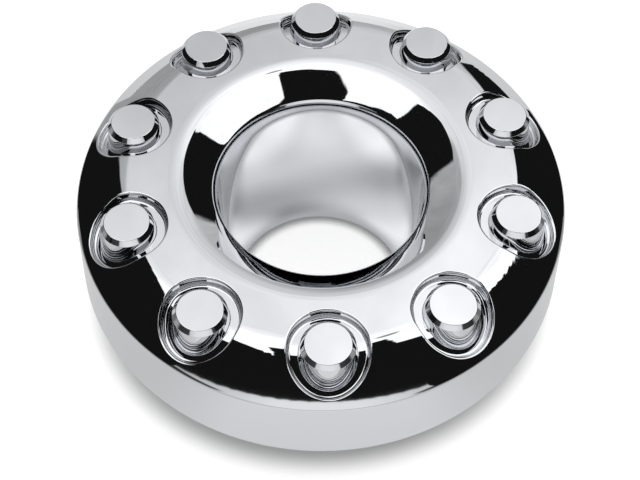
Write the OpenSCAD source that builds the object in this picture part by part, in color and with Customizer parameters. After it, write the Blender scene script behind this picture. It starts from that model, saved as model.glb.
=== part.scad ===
// Open-centre hub cover for a ten-stud truck wheel: one thin moulding with a deep centre tube,
// a flat annular face, a sloping shoulder, an outer skirt and a hollow boss over every wheel nut.
// Z is the wheel's axis. Z = 0 is the plane of the tube's foot, which the cover stands on.

/* [Overall] */
// Height from the tube's foot to the tops of the bosses
cover_h = 129.5; // [110:0.5:160]
// Thickness of the moulding
wall = 3; // [2.2:0.1:3.8]

/* [Bolt circle] */
// Number of wheel studs, each with its own boss
stud_count = 10; // [6:1:11]
// Diameter of the circle through the studs
bolt_circle_d = 225; // [215:0.5:240]

/* [Centre tube] */
// Inner diameter of the tube at its foot
foot_d = 109; // [100:0.5:114]
// Inner diameter of the tube where it meets the funnel
mouth_d = 121.2; // [116:0.2:128]
// Drop from the boss tops to the tube's mouth
mouth_drop = 17.6; // [14:0.1:22]
// Rounding of the edge between the tube and the funnel
mouth_round = 4; // [1:0.1:6]

/* [Face] */
// Drop from the boss tops to the flat face
face_drop = 3.2; // [2.6:0.1:5]
// Distance from the bolt circle in to the corner between face and funnel
face_in = 33.2; // [29:0.1:36]
// Distance from the bolt circle out to the corner between face and shoulder
face_out = 0.9; // [-2:0.1:4]
// Rounding between the funnel and the face
funnel_round = 15.5; // [8:0.5:20]
// Rounding between the face and the shoulder
brow_round = 18.5; // [10:0.5:22]

/* [Shoulder and skirt] */
// Distance from the bolt circle out to the rim's corner
rim_out = 27.2; // [25.5:0.1:32]
// Drop from the boss tops to the rim's corner
rim_drop = 22.3; // [18:0.1:27]
// Rounding of the rim's corner
rim_round = 3; // [1:0.1:6]
// How far the shoulder bulges above a straight cone
shoulder_bulge = 0.5; // [0:0.1:1]
// Height of the skirt below the rim's corner
skirt_h = 44.2; // [30:0.2:60]
// How far the skirt flares out towards its lower edge
skirt_flare = 2.7; // [0:0.1:5]

/* [Bosses] */
// Diameter of the flat disc on top of a boss
disc_d = 24.8; // [23:0.1:26]
// Width of the chamfer round the disc
chamfer_w = 2.2; // [1:0.1:3]
// Height of the chamfer round the disc
chamfer_h = 1.9; // [1:0.1:3]
// Widening of a boss's side for each millimetre of height
boss_draft = 0.015; // [0:0.005:0.04]
// Distance across the corners of the wheel nut under a boss
nut_corner_d = 24.2; // [22:0.1:25]
// Gap between the nut's corners and the socket, all round
nut_gap = 0.2; // [0.1:0.05:0.4]
// Thickness of the boss's top
cap_wall = 2.6; // [2:0.1:4]

/* [Recesses] */
// Diameter of the round recess that each boss stands in
recess_d = 43; // [40:0.2:45]
// Depth of the recess floor below the face and shoulder
recess_depth = 7; // [4:0.1:9]

/* [Skirt notch] */
// Direction of the notch in the skirt's lower edge
notch_azimuth = -50.5; // [-180:0.5:180]
// Width of the notch at the skirt's lower edge
notch_w = 3; // [1:0.1:6]
// Height of the notch
notch_h = 3.2; // [1:0.1:6]

/* [Hidden] */
$fn = 144;
// Largest turn between two straight pieces of a rounded corner, in degrees
arc_turn = 9;
// Overshoot of cutting solids past the faces they cut
past = 1;

bolt_r = bolt_circle_d / 2;
rim_r = bolt_r + rim_out;
skirt_r = rim_r + skirt_flare;
skirt_z = cover_h - rim_drop - skirt_h;
boss_r = disc_d / 2 + chamfer_w;
socket_r = nut_corner_d / 2 + nut_gap;
recess_r = recess_d / 2;
// Middle of the straight line from the shoulder's top corner to the rim, raised by the bulge
shoulder_top = [bolt_r + face_out, cover_h - face_drop];
shoulder_mid = (shoulder_top + [rim_r, cover_h - rim_drop]) / 2 + shoulder_bulge * [0.5, 0.87];

// Corners of the show surface in section, [radius, z], from the tube's foot over to the skirt
corners = [
    [foot_d / 2, 0],
    [mouth_d / 2, cover_h - mouth_drop],
    [bolt_r - face_in, cover_h - face_drop],
    shoulder_top,
    shoulder_mid,
    [rim_r, cover_h - rim_drop],
    [skirt_r, skirt_z]
];
roundings = [0, mouth_round, funnel_round, brow_round, 0, rim_round, 0];

function unit(v) = v / norm(v);

// Unit vector from the show surface into the wall, along the line from a to b
function into_wall(a, b) = unit([b.y - a.y, a.x - b.x]);

// Corner b of the line a-b-c moved into the wall by t
function inset_corner(a, b, c, t) =
    let (m = into_wall(a, b), n = into_wall(b, c))
    b + (m + n) * t / (1 + m * n);

// The corners moved into the wall by t. The two ends stay at their own height
function inset(pts, t) =
    let (last = len(pts) - 1)
    [
        pts[0] + [t / into_wall(pts[0], pts[1]).x, 0],
        for (i = [1 : last - 1]) inset_corner(pts[i - 1], pts[i], pts[i + 1], t),
        pts[last] + [t / into_wall(pts[last - 1], pts[last]).x, 0]
    ];

// Points of an arc of radius r that rounds corner b, never longer than its straight sides allow
function rounded_corner(a, b, c, r) =
    let (
        back = unit(a - b),
        ahead = unit(c - b),
        half = acos(back * ahead) / 2,
        reach = min(r / tan(half), norm(a - b) * 0.48, norm(c - b) * 0.48),
        radius = reach * tan(half),
        centre = b + unit(back + ahead) * radius / sin(half),
        from = b + back * reach - centre,
        to = b + ahead * reach - centre,
        start = atan2(from.y, from.x),
        turn = atan2(from.x * to.y - from.y * to.x, from * to),
        steps = ceil(abs(turn) / arc_turn)
    )
    [for (k = [0 : steps])
        let (angle = start + turn * k / steps)
        centre + radius * [cos(angle), sin(angle)]];

// A line of corners, rounded wherever a radius is given
function rounded(pts, radii) =
    let (last = len(pts) - 1)
    [
        pts[0],
        for (i = [1 : last - 1])
            each radii[i] > 0 ? rounded_corner(pts[i - 1], pts[i], pts[i + 1], radii[i]) : [pts[i]],
        pts[last]
    ];

function reversed(list) = [for (i = [len(list) - 1 : -1 : 0]) list[i]];

function lowered(pts, drop) = [for (p = pts) p - [0, drop]];

show_line = rounded(corners, roundings);
back_line = rounded(inset(corners, wall), [for (r = roundings) r > 0 ? max(r - wall, 0.3) : 0]);

// Everything enclosed by the show surface lowered by drop
module under(drop) {
    rotate_extrude()
        polygon(concat(lowered(show_line, drop), [[skirt_r, -drop - past], [foot_d / 2, -drop - past]]));
}

// The layer between the show surface lowered by two different amounts
module layer(top_drop, bottom_drop) {
    rotate_extrude()
        polygon(concat(lowered(show_line, top_drop), reversed(lowered(show_line, bottom_drop))));
}

module at_each_stud() {
    for (i = [0 : stud_count - 1])
        rotate(90 + 360 * i / stud_count)
            translate([bolt_r, 0, 0])
                children();
}

// Upright cylinder on a stud's axis that reaches past the cover both ways
module stud_column(r) {
    translate([0, 0, -past])
        cylinder(r = r, h = cover_h + 2 * past);
}

// The thin revolved wall: tube, funnel, face, shoulder and skirt
module shell() {
    rotate_extrude()
        polygon(concat(show_line, reversed(back_line)));
}

// Side walls and floors of the recesses, hanging below the face and shoulder
module cups() {
    intersection() {
        layer(wall / 2, recess_depth + wall);
        at_each_stud() stud_column(recess_r + wall);
    }
}

// The space inside the recesses, above their floors
module recess_space() {
    difference() {
        at_each_stud() stud_column(recess_r);
        under(recess_depth);
    }
}

// One boss as a solid, down to the tube's foot
module boss_blank() {
    rotate_extrude()
        polygon([
            [0, cover_h],
            [disc_d / 2, cover_h],
            [boss_r, cover_h - chamfer_h],
            [boss_r + boss_draft * cover_h, 0],
            [0, 0]
        ]);
}

// The bosses, which end at the underside of the recess floors
module bosses() {
    difference() {
        at_each_stud() boss_blank();
        under(recess_depth + wall);
    }
}

// One socket for a wheel nut, open below
module nut_socket() {
    translate([0, 0, -past])
        cylinder(r = socket_r, h = cover_h - cap_wall + past);
}

// V-shaped notch through the skirt's lower edge
module skirt_notch() {
    open_w = notch_w * (notch_h + past) / notch_h;
    rotate(notch_azimuth)
        translate([rim_r - 2 * wall, 0, skirt_z])
            rotate([90, 0, 90])
                linear_extrude(height = skirt_flare + 4 * wall)
                    polygon([[-open_w / 2, -past], [0, notch_h], [open_w / 2, -past]]);
}

module wheel_cover() {
    color([0.76, 0.77, 0.79])
        difference() {
            union() {
                difference() {
                    union() {
                        shell();
                        cups();
                    }
                    recess_space();
                }
                bosses();
            }
            at_each_stud() nut_socket();
            skirt_notch();
        }
}

wheel_cover();
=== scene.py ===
import math

import bpy
import numpy as np
from mathutils import Matrix, Vector


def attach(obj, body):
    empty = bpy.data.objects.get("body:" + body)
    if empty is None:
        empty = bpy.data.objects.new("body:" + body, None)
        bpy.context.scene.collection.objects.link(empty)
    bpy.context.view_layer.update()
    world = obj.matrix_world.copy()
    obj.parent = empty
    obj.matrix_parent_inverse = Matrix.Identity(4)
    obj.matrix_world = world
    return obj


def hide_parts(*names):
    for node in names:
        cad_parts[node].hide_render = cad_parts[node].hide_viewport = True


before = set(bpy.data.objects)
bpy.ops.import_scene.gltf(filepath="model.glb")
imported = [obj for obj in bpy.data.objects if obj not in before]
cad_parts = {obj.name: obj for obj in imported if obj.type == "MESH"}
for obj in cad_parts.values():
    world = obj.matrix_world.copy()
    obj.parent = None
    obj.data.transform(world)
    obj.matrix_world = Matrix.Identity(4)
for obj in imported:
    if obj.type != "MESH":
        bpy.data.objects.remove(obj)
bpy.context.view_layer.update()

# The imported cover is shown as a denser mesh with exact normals, because chrome shows every error in a normal. The
# studio round it is rebuilt for what the chrome mirrors.

# Sizes of the cover, in millimetres, with the draft and the azimuth in degrees. Most are the part's own. The mouth,
# the shoulder's rounding, the chamfer, the draft and the recess's depth were tuned on the mirrored picture, and move
# the surface by about a millimetre at most.
COVER_H = 129.5
WALL = 3.0
STUD_COUNT = 10
BOLT_R = 112.5
FOOT_R = 54.5
MOUTH_R = 59.8
MOUTH_DROP = 17.0
MOUTH_ROUND = 8.0
FACE_DROP = 3.2
FACE_IN = 33.2
FACE_OUT = 0.9
FUNNEL_ROUND = 15.5
BROW_ROUND = 18.5
RIM_OUT = 27.2
RIM_DROP = 22.3
RIM_ROUND = 3.0
SHOULDER_BULGE = 0.5
BULGE_DIRECTION = (0.5, 0.87)
SHOULDER_ROUND = 60.0
SKIRT_H = 44.2
SKIRT_FLARE = 2.7
DISC_R = 12.4
CHAMFER_W = 2.25
CHAMFER_H = 2.7
BOSS_DRAFT = 6.5
SOCKET_R = 12.3
CAP_WALL = 2.6
RECESS_R = 21.5
RECESS_DEPTH = 6.5
NOTCH_AZIMUTH = -50.5
NOTCH_W = 3.0
NOTCH_H = 3.2

# Small roundings that only the surface shows, in millimetres
DISC_ROUND = 0.5
BOSS_ROUND = 0.6
BOSS_COVE = 0.5
RECESS_COVE = 1.9
RECESS_EDGE = 1.2
LEAST_BACK_ROUND = 0.3
# How far the recess walls stay in from the rim's wall on the hidden side
CUP_MARGIN = 0.6

# Each boss has its own sector of the mesh, between these distances from the wheel's axis. The outer one is smaller
# on the hidden side. Rings close the mesh inside and outside the sectors.
PATCH_IN_R = 86.5
PATCH_OUT_R = 137.6
BACK_OUT_R = 136.2

# How finely the surface is divided: columns round a boss, steps along each rounding of a section line, the first
# ring of points as a share of the disc's radius, and steps outward from there. A spread over 1 makes the face's steps
# longer further out. Strips are counted inside and outside the sectors.
COLUMNS = 120
ARC_STEPS = 160
DISC_INNER = 0.55
CHAMFER_STEPS = 4
BOSS_COVE_STEPS = 6
FLOOR_STEPS = 5
RECESS_COVE_STEPS = 7
RECESS_EDGE_STEPS = 9
FACE_STEPS = 11
FACE_SPREAD = 1.25
BACK_FLOOR_STEPS = 3
BACK_FACE_STEPS = 5
SHOW_STRIPS = (26, 18)
BACK_STRIPS = (12, 9)
# How much a millimetre of length and a radian of turn count when steps are shared out along a section line
LENGTH_WEIGHT = 0.02
TURN_WEIGHT = 3.0

# The least outward share of a section line's direction on its plate part, between the mouth and the rim
PLATE_SLANT = 0.2
# A first guess of how far below the boss tops a fillet's centre lies, and the rounds that settle it
CENTRE_GUESS = 10.0
CENTRE_ROUNDS = 20
# How far a normal looks to each side along its row, in radians round the boss
TURN_STEP = 1e-4
# Out of reach, an angle that counts as none, and distances that count as none, in millimetres
FAR = 1e9
TINY = 1e-9
ON_EDGE = 1e-6
SAME_PLACE = 1e-7
# Digits that are kept of metres to weld points, and of radians to compare azimuths
WELD_DIGITS = 8
AZIMUTH_DIGITS = 12
MM = 0.001
DEG = math.pi / 180

RIM_R = BOLT_R + RIM_OUT
SKIRT_R = RIM_R + SKIRT_FLARE
SKIRT_Z = COVER_H - RIM_DROP - SKIRT_H
BOSS_R = DISC_R + CHAMFER_W
SECTOR = 2 * math.pi / STUD_COUNT


def unit(v):
    return v / np.linalg.norm(v)


def rounded_line(corners, radii):
    """Points and unit tangents along a line of corners in section, with the inner corners rounded."""
    points = [np.array(corners[0], float)]
    tangents = [unit(np.subtract(corners[1], corners[0]))]
    for a, b, c, r in zip(corners, corners[1:], corners[2:], radii[1:-1]):
        a, b, c = (np.array(p, float) for p in (a, b, c))
        t0, t1 = unit(b - a), unit(c - b)
        turn = math.acos(np.clip(t0 @ t1, -1, 1))
        side = math.copysign(1, t0[0] * t1[1] - t0[1] * t1[0])
        start = b - t0 * r * math.tan(turn / 2)
        normal = side * np.array([-t0[1], t0[0]])
        for k in range(ARC_STEPS + 1):
            angle = turn * k / ARC_STEPS
            points.append(start + r * (math.sin(angle) * t0 + (1 - math.cos(angle)) * normal))
            tangents.append(math.cos(angle) * t0 + math.sin(angle) * normal)
    points.append(np.array(corners[-1], float))
    tangents.append(unit(np.subtract(corners[-1], corners[-2])))
    return np.array(points), np.array(tangents)


def show_corners():
    """Corners of the show surface in section, (radius, z), from the tube's foot over to the skirt's edge."""
    top = np.array([BOLT_R + FACE_OUT, COVER_H - FACE_DROP])
    rim = np.array([RIM_R, COVER_H - RIM_DROP])
    middle = (top + rim) / 2 + SHOULDER_BULGE * np.array(BULGE_DIRECTION)
    return [(FOOT_R, 0), (MOUTH_R, COVER_H - MOUTH_DROP), (BOLT_R - FACE_IN, COVER_H - FACE_DROP), top, middle,
            rim, (SKIRT_R, SKIRT_Z)]


def inset_corners(corners, depth):
    """The corners moved into the wall by depth. The two ends keep their height."""
    def inward(a, b):
        return unit(np.array([b[1] - a[1], a[0] - b[0]]))
    moved = [np.array(corners[0]) + [depth / inward(corners[0], corners[1])[0], 0]]
    for a, b, c in zip(corners, corners[1:], corners[2:]):
        m, n = inward(a, b), inward(b, c)
        moved.append(np.array(b) + (m + n) * depth / (1 + m @ n))
    moved.append(np.array(corners[-1]) + [depth / inward(corners[-2], corners[-1])[0], 0])
    return moved


ROUNDINGS = [0, MOUTH_ROUND, FUNNEL_ROUND, BROW_ROUND, SHOULDER_ROUND, RIM_ROUND, 0]
SHOW = rounded_line(show_corners(), ROUNDINGS)
BACK = rounded_line(inset_corners(show_corners(), WALL), [max(r - WALL, LEAST_BACK_ROUND) for r in ROUNDINGS])


class Plate:
    """Height and slope of a section line over its single-valued part, between the mouth and the rim."""

    def __init__(self, line):
        points, tangents = line
        keep = tangents[:, 0] > PLATE_SLANT
        self.r, self.z = points[keep, 0], points[keep, 1]
        self.slope = tangents[keep, 1] / tangents[keep, 0]

    def height(self, r):
        return np.interp(r, self.r, self.z)

    def tilt(self, r):
        return np.interp(r, self.r, self.slope)


FACE = Plate(SHOW)
UNDERSIDE = Plate(BACK)


def direction_from_boss(r, azimuth):
    """Direction from a boss at azimuth 0 to a point at distance r from the wheel's axis."""
    return math.atan2(r * math.sin(azimuth), r * math.cos(azimuth) - BOLT_R)


def column_directions():
    """Directions of the mesh columns round a boss. Some meet the sector's corners and the notch's three points."""
    half = NOTCH_W / 2 / SKIRT_R
    middle = (NOTCH_AZIMUTH * DEG - math.pi / 2 + SECTOR / 2) % SECTOR - SECTOR / 2
    marks = [(PATCH_OUT_R, SECTOR / 2), (PATCH_OUT_R, -SECTOR / 2), (PATCH_IN_R, SECTOR / 2), (PATCH_IN_R, -SECTOR / 2)]
    marks += [(PATCH_OUT_R, turn) for turn in (middle - half, middle, middle + half)]
    phi = np.linspace(-math.pi, math.pi, COLUMNS, endpoint=False)
    for r, azimuth in marks:
        angle = direction_from_boss(r, azimuth)
        phi[np.argmin(np.abs(phi - angle))] = angle
    return phi


PHI = column_directions()


def reach_to_sector_edge(phi, out_r=PATCH_OUT_R):
    """Distance from the boss's axis to the edge of its sector in direction phi."""
    half = SECTOR / 2
    cos, sin = np.cos(phi), np.sin(phi)
    with np.errstate(divide="ignore", invalid="ignore"):
        side = np.where(np.abs(sin) > TINY, BOLT_R * math.sin(half)
                        / (np.abs(sin) * math.cos(half) - cos * math.sin(half)), FAR)
    side = np.where(side > 0, side, FAR)
    out = -BOLT_R * cos + np.sqrt(out_r ** 2 - (BOLT_R * sin) ** 2)
    inner_root = PATCH_IN_R ** 2 - (BOLT_R * sin) ** 2
    towards = (cos < 0) & (inner_root > 0)
    inner = np.where(towards, -BOLT_R * cos - np.sqrt(np.maximum(inner_root, 0)), FAR)
    return np.minimum(np.minimum(side, out), inner)


def sector_edge_points():
    """Where the columns meet the edge of a sector at azimuth 0, as x and y."""
    reach = reach_to_sector_edge(PHI)
    return BOLT_R + reach * np.cos(PHI), reach * np.sin(PHI)


def back_directions():
    """The columns' directions on the hidden side, whose sectors end further in at the same azimuths."""
    x, y = sector_edge_points()
    azimuth = np.arctan2(y, x)
    moved = np.arctan2(BACK_OUT_R * np.sin(azimuth), BACK_OUT_R * np.cos(azimuth) - BOLT_R)
    return np.where(np.abs(np.hypot(x, y) - PATCH_OUT_R) < ON_EDGE, moved, PHI)


BACK_PHI = back_directions()


def radius_at(s, phi):
    """Distance from the wheel's axis at distance s from the boss's axis in direction phi."""
    return np.sqrt(BOLT_R ** 2 + s ** 2 + 2 * BOLT_R * s * np.cos(phi))


def height_at(plate, s, phi, drop=0.0):
    return plate.height(radius_at(s, phi)) - drop


def slope_at(plate, s, phi):
    """Slope of the plate along direction phi from the boss's axis."""
    r = radius_at(s, phi)
    return plate.tilt(r) * (s + BOLT_R * np.cos(phi)) / r


# A row is (s, z, tangent s, tangent z) over all columns round a boss, with s the distance from the boss's axis.

def plate_row(plate, s, phi, drop=0.0):
    """A row on the plate lowered by drop."""
    m = slope_at(plate, s, phi)
    n = np.sqrt(1 + m * m)
    return (s, height_at(plate, s, phi, drop), 1 / n, m / n)


def arc_rows(centre_s, centre_z, r, start, end, count):
    """Rows of a fillet arc from one angle to another."""
    rows = []
    sign = np.sign(end - start + 0 * PHI)
    for k in range(count + 1):
        a = start + (end - start) * k / count + 0 * PHI
        rows.append((centre_s + r * np.cos(a), centre_z + r * np.sin(a), -sign * np.sin(a), sign * np.cos(a)))
    return rows


def fillet_centre(phi, centre_s, r, drop, solid_below):
    """Centre of an arc between a wall and the plate lowered by drop, and the plate's slope where they meet.

    centre_s gives the centre's distance from the boss's axis for its height. A cove, in the corner above the
    plate, has its centre above it, and a rounded edge, with solid_below, has it beneath.
    """
    up = -1.0 if solid_below else 1.0
    s = centre_s(COVER_H - CENTRE_GUESS) + 0 * phi
    for _ in range(CENTRE_ROUNDS):
        m = slope_at(FACE, s, phi)
        z = height_at(FACE, s, phi, drop) + up * r / np.sqrt(1 + m * m)
        s = centre_s(z) + up * r * m / np.sqrt(1 + m * m)
    m = slope_at(FACE, s, phi)
    z = height_at(FACE, s, phi, drop) + up * r / np.sqrt(1 + m * m)
    return centre_s(z) + 0 * phi, z, m


def boss_rows(phi):
    """Rows over the boss's disc and chamfer, down its side and round the cove at its foot."""
    one, zero = 1.0 + 0 * phi, 0 * phi
    rows = [(zero, COVER_H * one, one, zero), (DISC_INNER * DISC_R * one, COVER_H * one, one, zero)]
    chamfer = math.atan2(CHAMFER_H, CHAMFER_W)
    reach = DISC_ROUND * math.tan(chamfer / 2)
    rows += arc_rows((DISC_R - reach) * one, (COVER_H - DISC_ROUND) * one, DISC_ROUND, math.pi / 2,
                     math.pi / 2 - chamfer, CHAMFER_STEPS)
    draft = BOSS_DRAFT * DEG
    over = np.array([math.sin(chamfer), math.cos(chamfer)])
    aside = np.array([math.cos(draft), math.sin(draft)])
    centre = np.array([BOSS_R, COVER_H - CHAMFER_H]) - BOSS_ROUND * (over + aside) / (1 + over @ aside)
    rows += arc_rows(centre[0] * one, centre[1] * one, BOSS_ROUND, math.pi / 2 - chamfer, draft, CHAMFER_STEPS)

    def off_side(z):
        return BOSS_R + (COVER_H - CHAMFER_H - z) * math.tan(draft) + BOSS_COVE / math.cos(draft)

    s, z, m = fillet_centre(phi, off_side, BOSS_COVE, RECESS_DEPTH, False)
    cove = arc_rows(s, z, BOSS_COVE, math.pi + draft, 1.5 * math.pi + np.arctan(m), BOSS_COVE_STEPS)
    top, foot = rows[-1], cove[0]
    rows.append(((top[0] + foot[0]) / 2, (top[1] + foot[1]) / 2, top[2], top[3]))
    return rows + cove


def recess_rows(phi, start):
    """Rows over the recess floor from the boss's foot, up the recess wall and over its rounded edge."""
    one, zero = 1.0 + 0 * phi, 0 * phi
    s, z, m = fillet_centre(phi, lambda _: RECESS_R - RECESS_COVE, RECESS_COVE, RECESS_DEPTH, False)
    cove = arc_rows(s, z, RECESS_COVE, 1.5 * math.pi + np.arctan(m), 2 * math.pi, RECESS_COVE_STEPS)
    rows = [plate_row(FACE, start + (cove[0][0] - start) * k / FLOOR_STEPS, phi, RECESS_DEPTH)
            for k in range(1, FLOOR_STEPS)]
    rows += cove
    s, z, m = fillet_centre(phi, lambda _: RECESS_R + RECESS_EDGE, RECESS_EDGE, 0.0, True)
    rows.append((RECESS_R * one, (cove[-1][1] + z) / 2, zero, one))
    return rows + arc_rows(s, z, RECESS_EDGE, math.pi, math.pi / 2 + np.arctan(m), RECESS_EDGE_STEPS)


def show_rows(phi):
    """Rows of the show surface from the boss's axis out to the edge of its sector."""
    rows = boss_rows(phi)
    rows += recess_rows(phi, rows[-1][0])
    start = rows[-1][0]
    reach = reach_to_sector_edge(phi)
    for k in range(1, FACE_STEPS + 1):
        rows.append(plate_row(FACE, start + (reach - start) * (k / FACE_STEPS) ** FACE_SPREAD, phi))
    return rows


def back_rows(phi):
    """Rows of the hidden side from the socket's ceiling out to the edge of the sector. Sharp edges come twice."""
    one, zero = 1.0 + 0 * phi, 0 * phi
    socket, ceiling = SOCKET_R * one, (COVER_H - CAP_WALL) * one
    under_floor = RECESS_DEPTH + WALL
    cup = np.minimum(RECESS_R + WALL, -BOLT_R * np.cos(phi)
                     + np.sqrt((RIM_R - WALL - CUP_MARGIN) ** 2 - (BOLT_R * np.sin(phi)) ** 2))
    mouth = plate_row(FACE, socket, phi, under_floor)
    rows = [(zero, ceiling, one, zero), (socket, ceiling, one, zero), (socket, ceiling, zero, -one),
            (socket, mouth[1], zero, -one)]
    for k in range(BACK_FLOOR_STEPS + 1):
        rows.append(plate_row(FACE, SOCKET_R + (cup - SOCKET_R) * k / BACK_FLOOR_STEPS, phi, under_floor))
    cup_top = plate_row(UNDERSIDE, cup, phi)
    rows += [(cup, rows[-1][1], zero, one), (cup, cup_top[1], zero, one)]
    reach = np.maximum(reach_to_sector_edge(phi, BACK_OUT_R), cup)
    for k in range(BACK_FACE_STEPS + 1):
        rows.append(plate_row(UNDERSIDE, cup + (reach - cup) * k / BACK_FACE_STEPS, phi))
    return rows


class Skin:
    """Collects quads with a normal at each of their corners, and welds points that meet."""

    def __init__(self):
        self.points, self.faces, self.normals = [], [], []
        self.count = 0

    def grid(self, points, normals, flip):
        """Adds rows x columns of points with their normals. The last column joins the first."""
        rows, cols = points.shape[:2]
        index = self.count + np.arange(rows * cols).reshape(rows, cols)
        self.points.append(points.reshape(-1, 3))
        self.count += rows * cols
        j = np.arange(cols)
        k = (j + 1) % cols
        for i in range(rows - 1):
            if np.abs(points[i] - points[i + 1]).max() < SAME_PLACE:
                continue
            quad = np.stack([index[i, j], index[i + 1, j], index[i + 1, k], index[i, k]], 1)
            normal = np.stack([normals[i, j], normals[i + 1, j], normals[i + 1, k], normals[i, k]], 1)
            if flip:
                quad, normal = quad[:, ::-1], normal[:, ::-1]
            self.faces.append(quad)
            self.normals.append(normal)

    def mesh(self, name):
        """The mesh in metres, with meeting points welded and collapsed sides left out."""
        points = np.concatenate(self.points) * MM
        faces = np.concatenate(self.faces)
        normals = np.concatenate(self.normals)
        _, first, index = np.unique(np.round(points, WELD_DIGITS), axis=0, return_index=True, return_inverse=True)
        points = points[first]
        faces = index.ravel()[faces]
        polygons, loop_normals = [], []
        for quad, normal in zip(faces.tolist(), normals):
            keep = [k for k in range(4) if quad[k] != quad[k - 1]]
            if len(keep) < 3:
                continue
            polygons.append([quad[k] for k in keep])
            loop_normals.extend(normal[k] for k in keep)
        mesh = bpy.data.meshes.new(name)
        mesh.from_pydata(points.tolist(), [], polygons)
        mesh.validate()
        mesh.shade_smooth()
        mesh.normals_split_custom_set([tuple(n) for n in loop_normals])
        return mesh


def sector_points(rows, phi, turn):
    """3-D points of rows round a boss whose azimuth is turn."""
    s = np.array([r[0] for r in rows])
    z = np.array([r[1] for r in rows])
    x = BOLT_R + s * np.cos(phi)
    y = s * np.sin(phi)
    return np.stack([x * math.cos(turn) - y * math.sin(turn), x * math.sin(turn) + y * math.cos(turn), z], 2)


def sector_normals(make_rows, phi, upward):
    """Unit normals of the rows round a boss at azimuth 0."""
    rows = make_rows(phi)
    ahead = sector_points(make_rows(phi + TURN_STEP), phi + TURN_STEP, 0.0)
    behind = sector_points(make_rows(phi - TURN_STEP), phi - TURN_STEP, 0.0)
    across = ahead - behind
    ts = np.array([r[2] for r in rows])
    tz = np.array([r[3] for r in rows])
    along = np.stack([ts * np.cos(phi), ts * np.sin(phi), tz], 2)
    across[0] = np.stack([-np.sin(phi), np.cos(phi), 0 * phi], 1)
    normal = np.cross(along, across)
    normal /= np.linalg.norm(normal, axis=2, keepdims=True)
    return normal if upward else -normal


def turned(vectors, angle):
    """Vectors turned about z."""
    x = vectors[..., 0] * math.cos(angle) - vectors[..., 1] * math.sin(angle)
    y = vectors[..., 0] * math.sin(angle) + vectors[..., 1] * math.cos(angle)
    return np.stack([x, y, vectors[..., 2]], -1)


def add_sectors(skin):
    """The bosses with their recesses and the wall round them, on both sides."""
    show, back = show_rows(PHI), back_rows(BACK_PHI)
    show_normal = sector_normals(show_rows, PHI, True)
    back_normal = sector_normals(back_rows, BACK_PHI, False)
    for i in range(STUD_COUNT):
        turn = math.pi / 2 + i * SECTOR
        skin.grid(sector_points(show, PHI, turn), turned(show_normal, turn), False)
        skin.grid(sector_points(back, BACK_PHI, turn), turned(back_normal, turn), True)


def edge_azimuths(ring_r):
    """Azimuths of the mesh columns that meet the sectors' edges at ring_r, all the way round."""
    x, y = sector_edge_points()
    on_ring = np.abs(np.hypot(x, y) - ring_r) < ON_EDGE
    local = np.unique(np.round(np.arctan2(y[on_ring], x[on_ring]), AZIMUTH_DIGITS))
    local = local[local < SECTOR / 2 - TINY]
    return np.concatenate([math.pi / 2 + i * SECTOR + local for i in range(STUD_COUNT)])


def revolved(skin, points, tangents, azimuths, upward, notched_rows=()):
    """Adds a revolved strip. tangents run from the first point to the last, and notched rows rise at the notch."""
    r, z = points[:, 0], points[:, 1]
    cos, sin = np.cos(azimuths), np.sin(azimuths)
    one = np.ones(len(azimuths))
    grid = np.stack([np.outer(r, cos), np.outer(r, sin), np.outer(z, one)], 2)
    nr, nz = -tangents[:, 1], tangents[:, 0]
    normal = np.stack([np.outer(nr, cos), np.outer(nr, sin), np.outer(nz, one)], 2)
    column = np.argmax(np.cos(azimuths - NOTCH_AZIMUTH * DEG))
    inward = -SKIRT_FLARE / SKIRT_H * NOTCH_H
    for row in notched_rows:
        grid[row, column] += (inward * cos[column], inward * sin[column], NOTCH_H)
    skin.grid(grid, normal if upward else -normal, not upward)


def running_length(points):
    """Arc length from the first point to each point of a line."""
    return np.concatenate([[0], np.cumsum(np.hypot(*np.diff(points, axis=0).T))])


def sampled(line, start_s, end_s, count):
    """count + 1 points of a section line from arc length start_s to end_s, closer where it turns."""
    points, tangents = line
    length = running_length(points)
    angle = np.unwrap(np.arctan2(tangents[:, 1], tangents[:, 0]))
    steps = np.diff(length) * LENGTH_WEIGHT + np.abs(np.diff(angle)) * TURN_WEIGHT
    measure = np.concatenate([[0], np.cumsum(steps)])
    inside = (length > start_s) & (length < end_s)
    grid_l = np.concatenate([[start_s], length[inside], [end_s]])
    grid_m = np.interp(grid_l, length, measure)
    want = np.interp(np.linspace(grid_m[0], grid_m[-1], count + 1), grid_m, grid_l)
    p = np.stack([np.interp(want, length, points[:, 0]), np.interp(want, length, points[:, 1])], 1)
    a = np.interp(want, length, angle)
    return p, np.stack([np.cos(a), np.sin(a)], 1)


def length_at_radius(line, r):
    """Arc length at which a section line crosses radius r on its plate part."""
    points, tangents = line
    keep = tangents[:, 0] > PLATE_SLANT
    return float(np.interp(r, points[keep, 0], running_length(points)[keep]))


def add_rings(skin):
    """Tube and funnel inside the sectors, rim and skirt outside them, and the two free edges."""
    inner_az, outer_az = edge_azimuths(PATCH_IN_R), edge_azimuths(PATCH_OUT_R)
    sides = ((SHOW, True, PATCH_OUT_R, SHOW_STRIPS), (BACK, False, BACK_OUT_R, BACK_STRIPS))
    for line, upward, out_r, (inner_count, outer_count) in sides:
        at_in, at_out = length_at_radius(line, PATCH_IN_R), length_at_radius(line, out_r)
        end = running_length(line[0])[-1]
        revolved(skin, *sampled(line, 0.0, at_in, inner_count), inner_az, upward)
        revolved(skin, *sampled(line, at_out, end, outer_count), outer_az, upward, (-1,))
    level = np.array([[1.0, 0.0]] * 2)
    revolved(skin, np.array([SHOW[0][0], BACK[0][0]]), level, inner_az, False)
    revolved(skin, np.array([BACK[0][-1], SHOW[0][-1]]), level, outer_az, False, (0, 1))


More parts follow.
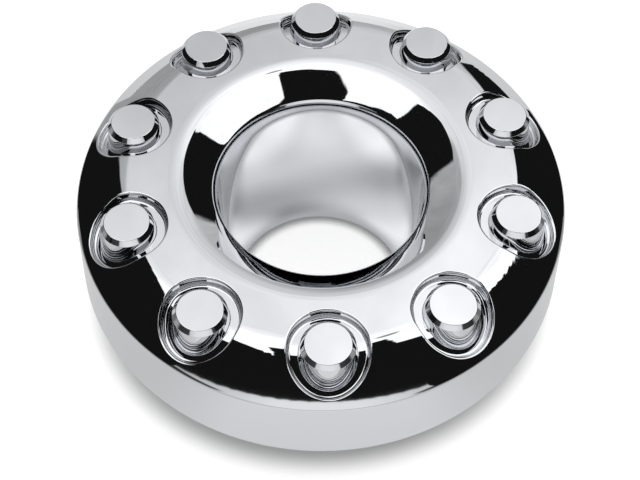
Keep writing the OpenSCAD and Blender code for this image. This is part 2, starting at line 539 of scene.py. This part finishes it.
class Maths:
    """Builds shader maths from Python expressions on sockets and numbers."""

    def __init__(self, tree):
        self.tree = tree

    def feed(self, socket, value):
        """Sets a socket to a number, or links it to another socket."""
        if isinstance(value, (int, float)):
            socket.default_value = value
        else:
            self.tree.links.new(value, socket)

    def node(self, operation, *values):
        node = self.tree.nodes.new("ShaderNodeMath")
        node.operation = operation
        for socket, value in zip(node.inputs, values):
            self.feed(socket, value)
        return node.outputs[0]

    def add(self, a, b):
        return self.node("ADD", a, b)

    def times(self, a, b):
        return self.node("MULTIPLY", a, b)

    def length(self, x, y):
        """Distance from (0, 0) to (x, y)."""
        return self.node("SQRT", self.add(self.times(x, x), self.times(y, y)))

    def mix(self, a, b, share):
        """a where share is 0 and b where it is 1."""
        return self.add(a, self.times(self.node("SUBTRACT", b, a), share))

    def inverse(self, share):
        """1 where share is 0 and 0 where it is 1."""
        return self.add(1.0, self.times(share, -1.0))

    def both(self, *masks):
        """1 where all masks are 1."""
        result = masks[0]
        for mask in masks[1:]:
            result = self.times(result, mask)
        return result

    def either(self, a, b):
        """1 where one of two masks is 1."""
        return self.add(a, self.times(self.inverse(a), b))

    def step(self, value, low, high):
        """0 below low, 1 above high, smooth between."""
        node = self.tree.nodes.new("ShaderNodeMapRange")
        node.interpolation_type = "SMOOTHSTEP"
        for name, v in (("Value", value), ("From Min", low), ("From Max", high)):
            self.feed(node.inputs[name], v)
        return node.outputs["Result"]

    def band(self, value, rise, fall):
        """0 below the ramp rise, 1 between the two ramps, 0 above the ramp fall."""
        return self.times(self.step(value, *rise), self.inverse(self.step(value, *fall)))

    def beside(self, x, y, line, blur):
        """1 on the left of a line from its first place to its second, 0 on its right."""
        (ax, ay), (bx, by) = line
        run = math.hypot(bx - ax, by - ay)
        nx, ny = -(by - ay) / run, (bx - ax) / run
        distance = self.add(self.times(x, nx), self.add(self.times(y, ny), -(nx * ax + ny * ay)))
        return self.step(distance, -blur, blur)

    def split(self, vector):
        """The three parts of a vector."""
        node = self.tree.nodes.new("ShaderNodeSeparateXYZ")
        self.tree.links.new(vector, node.inputs[0])
        return node.outputs

    def position(self):
        """The place that is being shaded, in metres."""
        return self.tree.nodes.new("ShaderNodeNewGeometry").outputs["Position"]

    def noise(self, vector, scale, detail):
        """Noise at a vector, as the node's outputs."""
        node = self.tree.nodes.new("ShaderNodeTexNoise")
        node.inputs["Scale"].default_value = scale
        node.inputs["Detail"].default_value = detail
        self.tree.links.new(vector, node.inputs["Vector"])
        return node.outputs

    def place_noise(self, x, y, size, detail):
        """Noise by place, with patches of about a size."""
        place = self.tree.nodes.new("ShaderNodeCombineXYZ")
        self.tree.links.new(self.times(x, 1 / size), place.inputs[0])
        self.tree.links.new(self.times(y, 1 / size), place.inputs[1])
        return self.noise(place.outputs[0], 1.0, detail)

    def shaken(self, x, y, size, amount, detail):
        """A place moved by a little noise, for edges that aren't quite straight."""
        shares = self.split(self.place_noise(x, y, size, detail)["Color"])
        return tuple(self.add(v, self.times(self.add(n, -0.5), 2 * amount)) for v, n in zip((x, y), shares))

    def curve(self, value, points):
        """A line through points, from the first one's value to the last one's."""
        node = self.tree.nodes.new("ShaderNodeFloatCurve")
        curve = node.mapping.curves[0]
        low, high = points[0][0], points[-1][0]
        tops = max(p[1] for p in points)
        scaled = [((x - low) / (high - low), y / tops) for x, y in points]
        curve.points[0].location, curve.points[1].location = scaled[0], scaled[-1]
        for x, y in scaled[1:-1]:
            curve.points.new(x, y)
        for point in curve.points:
            point.handle_type = "VECTOR"
        node.mapping.update()
        share = self.node("DIVIDE", self.node("SUBTRACT", value, low), high - low)
        self.tree.links.new(share, node.inputs["Value"])
        return self.times(node.outputs[0], tops)


# The plating: colour, roughness and a ripple that is far too low to be a shape
CHROME_COLOUR = (0.645, 0.655, 0.675, 1)
CHROME_ROUGHNESS = 0.02
RIPPLE_SCALE = 90.0
RIPPLE_DETAIL = 1.0
RIPPLE_HEIGHT = 5e-7


def chrome():
    """Bright chrome plating with the faint ripples of moulded plastic."""
    material = bpy.data.materials.new("chromed_plastic")
    material.use_nodes = True
    tree = material.node_tree
    m = Maths(tree)
    shader = tree.nodes["Principled BSDF"]
    shader.inputs["Base Color"].default_value = CHROME_COLOUR
    shader.inputs["Metallic"].default_value = 1.0
    shader.inputs["Roughness"].default_value = CHROME_ROUGHNESS
    bump = tree.nodes.new("ShaderNodeBump")
    bump.inputs["Strength"].default_value = 1.0
    bump.inputs["Distance"].default_value = RIPPLE_HEIGHT
    tree.links.new(m.noise(m.position(), RIPPLE_SCALE, RIPPLE_DETAIL)[0], bump.inputs["Height"])
    tree.links.new(bump.outputs[0], shader.inputs["Normal"])
    return material


def build_cover():
    """The cover as one mesh on the CAD body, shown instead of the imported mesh."""
    skin = Skin()
    add_sectors(skin)
    add_rings(skin)
    mesh = skin.mesh("cover_skin")
    cover = bpy.data.objects.new("cover_skin", mesh)
    bpy.context.scene.collection.objects.link(cover)
    mesh.materials.append(chrome())
    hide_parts("wheel_cover")
    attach(cover, "root")


# The photograph's camera, solved from the bosses and the skirt. It looks at the middle of the boss tops' plane from
# azimuth 0, on -Y, turned by CAM_AZIMUTH. Angles are in degrees, and yaw and pitch are shares of the look's length.
PHOTO_W = 640
SENSOR_W = 36.0
CAM_DISTANCE = 0.7095
CAM_ELEVATION = 53.47
CAM_AZIMUTH = -2.51
CAM_FOCAL_PX = 1265.0
CAM_YAW, CAM_PITCH, CAM_ROLL = -0.0002, -0.0581, 0.87
CLIP_START, CLIP_END = 0.01, 100.0


def place_camera():
    """The camera that took the photograph."""
    e = CAM_ELEVATION * DEG
    centre = CAM_DISTANCE * Vector((0, -math.cos(e), math.sin(e)))
    forward = -centre.normalized()
    right = Vector((1, 0, 0))
    up = right.cross(forward)
    forward = (forward + CAM_YAW * right + CAM_PITCH * up).normalized()
    right = forward.cross(Vector((0, 0, 1))).normalized()
    up = right.cross(forward)
    roll = CAM_ROLL * DEG
    right, up = (right * math.cos(roll) + up * math.sin(roll), -right * math.sin(roll) + up * math.cos(roll))
    basis = Matrix((right, up, -forward)).transposed().to_4x4()
    turn = Matrix.Rotation(CAM_AZIMUTH * DEG, 4, "Z")
    data = bpy.data.cameras.new("camera")
    data.sensor_width = SENSOR_W
    data.lens = CAM_FOCAL_PX / PHOTO_W * data.sensor_width
    data.clip_start, data.clip_end = CLIP_START, CLIP_END
    camera = bpy.data.objects.new("camera", data)
    bpy.context.scene.collection.objects.link(camera)
    camera.matrix_world = turn @ Matrix.Translation(centre + Vector((0, 0, COVER_H * MM))) @ basis
    bpy.context.scene.camera = camera


# The studio is a dome round the object. A place on it is (x, y), in degrees from straight up: x towards the
# camera's right and y away from the camera. Lines run through two such places, and what they bound lies on their
# left. A ramp is the two values between which something fades from 0 to 1.
DOME_R = 0.7
DOME_Z = 0.3
NEAR_AXIS = 1e-5
BLACK = 0.009

# The softbox overhead, by its corners, and the shaking of its edges
SOFTBOX = ((-55, -10), (-19, -54), (54, -35), (73, -14), (85, 10), (67, 21.5), (50, 28.5), (33, 32), (-33, 27))
SOFTBOX_BLUR = 0.5
JAG = 2.0
JAG_SIZE = 8.0
JAG_DETAIL = 3.0

# The pale back, between two bent edges
BACK_EDGES = (((-62, 47), (-38, 30)), ((-86, 74), (-62, 47)), ((33, 32), (40, 60)), ((40, 60), (46, 92)))
BACK_BLURS = (1.5, 3.0, 1.0, 2.0)
BACK_RAMP = (24, 27)

# The dark notch in the softbox's near edge. It lies beside the top or the crest, beside the left, and beside the right
# or the side.
NOTCH_TOP = ((2, -24.5), (-14, -29.5))
NOTCH_CREST = ((18, -9), (2, -24.5))
NOTCH_LEFT = ((-17.5, -30), (-20, -60))
NOTCH_RIGHT = ((27.5, -29), (18, -9))
NOTCH_SIDE = ((52, -36), (28, -32))
NOTCH_BLUR = 0.7
NOTCH_SIDE_BLUR = 1.2

# Brightness by y, on the bright fabric and beside it. The fabric is all that lies before its ramp, and beyond it what
# lies beside its edge. Away from the camera the left is dimmer than the right.
BRIGHT_LEVELS = ((-110, 1.62), (12, 1.6), (20, 1.45), (30, 1.33), (38, 1.25), (45, 1.09), (51, 0.97), (57, 0.9),
                 (69, 0.84), (81, 0.71), (93, 0.6), (110, 0.52))
DIM_LEVELS = ((-110, 0.7), (40, 0.7), (60, 0.6), (80, 0.52), (110, 0.48))
FABRIC_EDGE = ((-22, 60), (-33, 38))
FABRIC_BLUR = 7.0
FABRIC_RAMP = (30, 36)
SIDE_LEVELS = (0.85, 1.055)
SIDE_RAMP = (-16.0, 16.0)
SIDE_START = (5.0, 25.0)
CLOUDS = 0.5
CLOUD_SIZE = 9.0
CLOUD_DETAIL = 4.0

# A lamp's head in front of the softbox, and how much of its light it takes
LAMP_X, LAMP_Y = 14.5, 4.0
LAMP_HALF_X, LAMP_HALF_Y = 2.5, 4.0
LAMP_RAMP = (0.75, 1.25)
LAMP_SHADE = 0.75

# The light from low down. By azimuth, in degrees from the camera's side: where it starts, in degrees from straight
# up, and its brightness. In front it starts along a parabola. Dark bands run across both sides and all round.
LOW_STARTS = ((-180, 140), (-125, 140), (-110, 102), (-90, 96), (-60, 95), (-53, 90), (-51, 60),
              (38, 60), (41, 80), (45, 92), (60, 95), (90, 97), (110, 102), (125, 140), (180, 140))
LOW_FRONT = 69.0
LOW_FRONT_BEND = 0.0029
LOW_RAMP = (0.0, 0.15)
LOW_LEVELS = ((-180, 0.45), (-90, 0.42), (-60, 0.5), (-40, 0.74), (-28, 0.9), (-15, 1.1), (0, 1.12), (15, 1.1),
              (28, 0.96), (40, 0.75), (60, 0.4), (90, 0.4), (180, 0.45))
SIDE_BAND_AZIMUTHS = ((31.0, 36.0), (100.0, 110.0))
SIDE_BAND_R = ((77.0, 80.0), (99.0, 103.0))
SIDE_BAND_SHADE = 0.93
RING_BAND_R = ((107.0, 108.5), (114.0, 116.0))
RING_BAND_SHADE = 0.5


def lit_places(m, x, y):
    """1 on the softbox and the pale back, 0 in the notch and the gaps between them."""
    softbox = m.both(*(m.beside(x, y, edge, SOFTBOX_BLUR) for edge in zip(SOFTBOX, SOFTBOX[1:] + SOFTBOX[:1])))
    back = m.both(*(m.beside(x, y, edge, blur) for edge, blur in zip(BACK_EDGES, BACK_BLURS)),
                  m.step(y, *BACK_RAMP))
    top, crest, left, right = (m.beside(x, y, edge, NOTCH_BLUR)
                               for edge in (NOTCH_TOP, NOTCH_CREST, NOTCH_LEFT, NOTCH_RIGHT))
    side = m.beside(x, y, NOTCH_SIDE, NOTCH_SIDE_BLUR)
    notch = m.both(m.either(top, crest), left, m.either(right, side))
    return m.times(m.either(softbox, back), m.inverse(notch))


def light_level(m, x, y):
    """Brightness of the softbox and the pale back at a place, with soft clouds."""
    fabric = m.either(m.beside(x, y, FABRIC_EDGE, FABRIC_BLUR), m.inverse(m.step(y, *FABRIC_RAMP)))
    level = m.mix(m.curve(y, DIM_LEVELS), m.curve(y, BRIGHT_LEVELS), fabric)
    side = m.mix(*SIDE_LEVELS, m.step(x, *SIDE_RAMP))
    level = m.times(level, m.mix(1.0, side, m.step(y, *SIDE_START)))
    clouds = m.add(m.place_noise(x, y, CLOUD_SIZE, CLOUD_DETAIL)[0], -0.5)
    return m.times(level, m.add(1.0, m.times(clouds, CLOUDS)))


def lamp_shade(m, x, y):
    """The share of the softbox's light that the lamp's head leaves."""
    off = m.length(m.times(m.add(x, -LAMP_X), 1 / LAMP_HALF_X), m.times(m.add(y, -LAMP_Y), 1 / LAMP_HALF_Y))
    return m.inverse(m.times(m.inverse(m.step(off, *LAMP_RAMP)), LAMP_SHADE))


def low_light(m, r, az):
    """Light from low down, at r degrees from straight up and at an azimuth."""
    front = m.add(LOW_FRONT, m.times(LOW_FRONT_BEND, m.times(az, az)))
    start = m.node("MAXIMUM", m.curve(az, LOW_STARTS), front)
    low = m.step(m.add(r, m.times(start, -1.0)), *LOW_RAMP)
    side_band = m.times(m.band(m.node("ABSOLUTE", az), *SIDE_BAND_AZIMUTHS), m.band(r, *SIDE_BAND_R))
    level = m.times(m.curve(az, LOW_LEVELS), m.inverse(m.times(side_band, SIDE_BAND_SHADE)))
    level = m.times(level, m.inverse(m.times(m.band(r, *RING_BAND_R), RING_BAND_SHADE)))
    return m.times(low, level)


def studio_light(m, x, y, r, az):
    """Brightness of the studio at a place."""
    lit = lit_places(m, *m.shaken(x, y, JAG_SIZE, JAG, JAG_DETAIL))
    lit = m.times(m.times(lit, lamp_shade(m, x, y)), light_level(m, x, y))
    return m.add(m.add(lit, low_light(m, r, az)), BLACK)


def dome_place(m):
    """The place on the dome that is being shaded: x, y, degrees from straight up and azimuth."""
    turn = m.tree.nodes.new("ShaderNodeVectorRotate")
    turn.rotation_type = "Z_AXIS"
    turn.inputs["Center"].default_value = (0, 0, DOME_Z)
    turn.inputs["Angle"].default_value = -CAM_AZIMUTH * DEG
    m.tree.links.new(m.position(), turn.inputs["Vector"])
    px, py, pz = m.split(turn.outputs[0])
    up = m.times(m.add(pz, -DOME_Z), 1 / DOME_R)
    r = m.times(m.node("ARCCOSINE", m.node("MINIMUM", m.node("MAXIMUM", up, -1.0), 1.0)), 1 / DEG)
    scale = m.node("DIVIDE", r, m.node("MAXIMUM", m.length(px, py), NEAR_AXIS))
    az = m.times(m.node("ARCTAN2", px, m.times(py, -1.0)), 1 / DEG)
    return m.times(px, scale), m.times(py, scale), r, az


def studio_dome():
    """The studio as the chrome sees it: a dome that only mirrored rays meet."""
    bpy.ops.mesh.primitive_uv_sphere_add(segments=64, ring_count=32, radius=DOME_R, location=(0, 0, DOME_Z))
    dome = bpy.context.object
    dome.name = "studio_dome"
    dome.data.shade_smooth()
    for flag in ("camera", "diffuse", "transmission", "shadow", "volume_scatter"):
        setattr(dome, "visible_" + flag, False)
    material = bpy.data.materials.new("studio_dome")
    material.use_nodes = True
    material.cycles.emission_sampling = "NONE"
    tree = material.node_tree
    tree.nodes.clear()
    m = Maths(tree)
    emission = tree.nodes.new("ShaderNodeEmission")
    tree.links.new(studio_light(m, *dome_place(m)), emission.inputs["Color"])
    output = tree.nodes.new("ShaderNodeOutputMaterial")
    tree.links.new(emission.outputs[0], output.inputs["Surface"])
    dome.data.materials.append(material)


# The world's light, lower down and overhead
WORLD_LEVELS = (0.75, 1.2)
WORLD_RAMP = (0.2, 0.9)


def studio_world():
    """Soft even light on the floor, and white where the camera looks past it."""
    world = bpy.data.worlds.new("studio")
    bpy.context.scene.world = world
    world.use_nodes = True
    tree = world.node_tree
    m = Maths(tree)
    up = m.split(tree.nodes.new("ShaderNodeTexCoord").outputs["Generated"])[2]
    level = m.mix(*WORLD_LEVELS, m.step(up, *WORLD_RAMP))
    seen = tree.nodes.new("ShaderNodeLightPath").outputs["Is Camera Ray"]
    tree.links.new(m.mix(level, 1.0, seen), tree.nodes["Background"].inputs["Color"])


# The floor: its white, and the glow that keeps it bright. Ramps are in metres from the axis. Under the cover the glow
# is left out in a patch, a painted shadow on top of the shade that the light casts. The dark patch under the cover is
# wider than deep by SHADOW_SQUEEZE.
FLOOR_HALF = 4.0
FLOOR_WHITE = 0.62
FLOOR_GLOW = 0.62
SHADOW_RAMP = (0.131, 0.153)
SHADOW_SQUEEZE = 1.145
# Painted reflection: the floor's glow as only the chrome's reflections see it, brighter near the middle than further to
# the sides
MIRRORED_GLOW = (0.35, 0.17)
MIRRORED_RAMP = (0.08, 0.16)
# The floor inside the tube glows, painted light that lifts it out of the tube's shade, and the glow fades out towards
# the tube's wall, painted shade at its foot. The bore mirrors it brighter at the sides, and darker far off and round
# one
# place: a painted reflection and painted shade, from a glow that only the chrome's reflections see.
TUBE_GLOW = 0.68
TUBE_RAMP = (0.046, 0.0545)
TUBE_SIDES = 0.35
TUBE_SIDES_RAMP = (0.015, 0.038)
TUBE_FAR = 0.27
TUBE_FAR_RAMP = (0.036, 0.05)
TUBE_SHADE = 0.32
TUBE_SHADE_X, TUBE_SHADE_Y = -0.014, 0.033
TUBE_SHADE_RAMP = (0.004, 0.034)
REFLECTION_PATCHES = 0.35
REFLECTION_PATCH_SCALE = 16.0
REFLECTION_PATCH_DETAIL = 1.0


def tube_painted_reflection(m, x, y):
    """Painted reflection in the bore: how much brighter or darker it mirrors the floor inside the tube."""
    shade = m.step(m.length(m.add(x, -TUBE_SHADE_X), m.add(y, -TUBE_SHADE_Y)), *TUBE_SHADE_RAMP)
    sides = m.times(m.step(m.node("ABSOLUTE", x), *TUBE_SIDES_RAMP), TUBE_SIDES)
    darker = m.add(m.times(m.add(shade, -1.0), TUBE_SHADE), m.times(m.step(y, *TUBE_FAR_RAMP), -TUBE_FAR))
    uneven_reflection = m.times(m.add(m.noise(m.position(), REFLECTION_PATCH_SCALE, REFLECTION_PATCH_DETAIL)[0], -0.5), 2 * REFLECTION_PATCHES)
    return m.add(m.add(sides, darker), uneven_reflection)


def floor_glow(m):
    """The floor's glow by place, for the camera and for what the chrome mirrors, which paints shadow, light and
    reflections.
    """
    x, y, _ = m.split(m.position())
    in_chrome = m.tree.nodes.new("ShaderNodeLightPath").outputs["Is Glossy Ray"]
    # Painted shadow: the camera sees the floor's glow only outside a patch under the cover.
    seen = m.times(m.step(m.length(x, m.times(y, SHADOW_SQUEEZE)), *SHADOW_RAMP), FLOOR_GLOW)
    # Painted reflection: the chrome sees a glow of its own, dimmer further to the sides.
    mirrored = m.mix(*MIRRORED_GLOW, m.step(m.node("ABSOLUTE", x), *MIRRORED_RAMP))
    # Painted light on the floor inside the tube, with the bore's painted reflection added for glossy rays.
    in_tube = m.add(TUBE_GLOW, m.times(in_chrome, tube_painted_reflection(m, x, y)))
    # The tube's painted light fades out towards its wall, painted shade at the tube's foot.
    return m.mix(m.mix(seen, mirrored, in_chrome), in_tube, m.inverse(m.step(m.length(x, y), *TUBE_RAMP)))


def floor():
    """A white floor that keeps the object's shadow, with a glow by place that paints more shadow, light and
    reflections.
    """
    half = FLOOR_HALF
    mesh = bpy.data.meshes.new("floor")
    mesh.from_pydata([(-half, -half, 0), (half, -half, 0), (half, half, 0), (-half, half, 0)], [], [(0, 1, 2, 3)])
    plane = bpy.data.objects.new("floor", mesh)
    bpy.context.scene.collection.objects.link(plane)
    material = bpy.data.materials.new("floor")
    material.use_nodes = True
    tree = material.node_tree
    shader = tree.nodes["Principled BSDF"]
    shader.inputs["Base Color"].default_value = (FLOOR_WHITE, FLOOR_WHITE, FLOOR_WHITE, 1)
    shader.inputs["Roughness"].default_value = 1.0
    shader.inputs["Specular IOR Level"].default_value = 0.0
    shader.inputs["Emission Color"].default_value = (1, 1, 1, 1)
    tree.links.new(floor_glow(Maths(tree)), shader.inputs["Emission Strength"])
    mesh.materials.append(material)


build_cover()
place_camera()
studio_dome()
studio_world()
floor()
bpy.context.scene.view_settings.view_transform = "Standard"
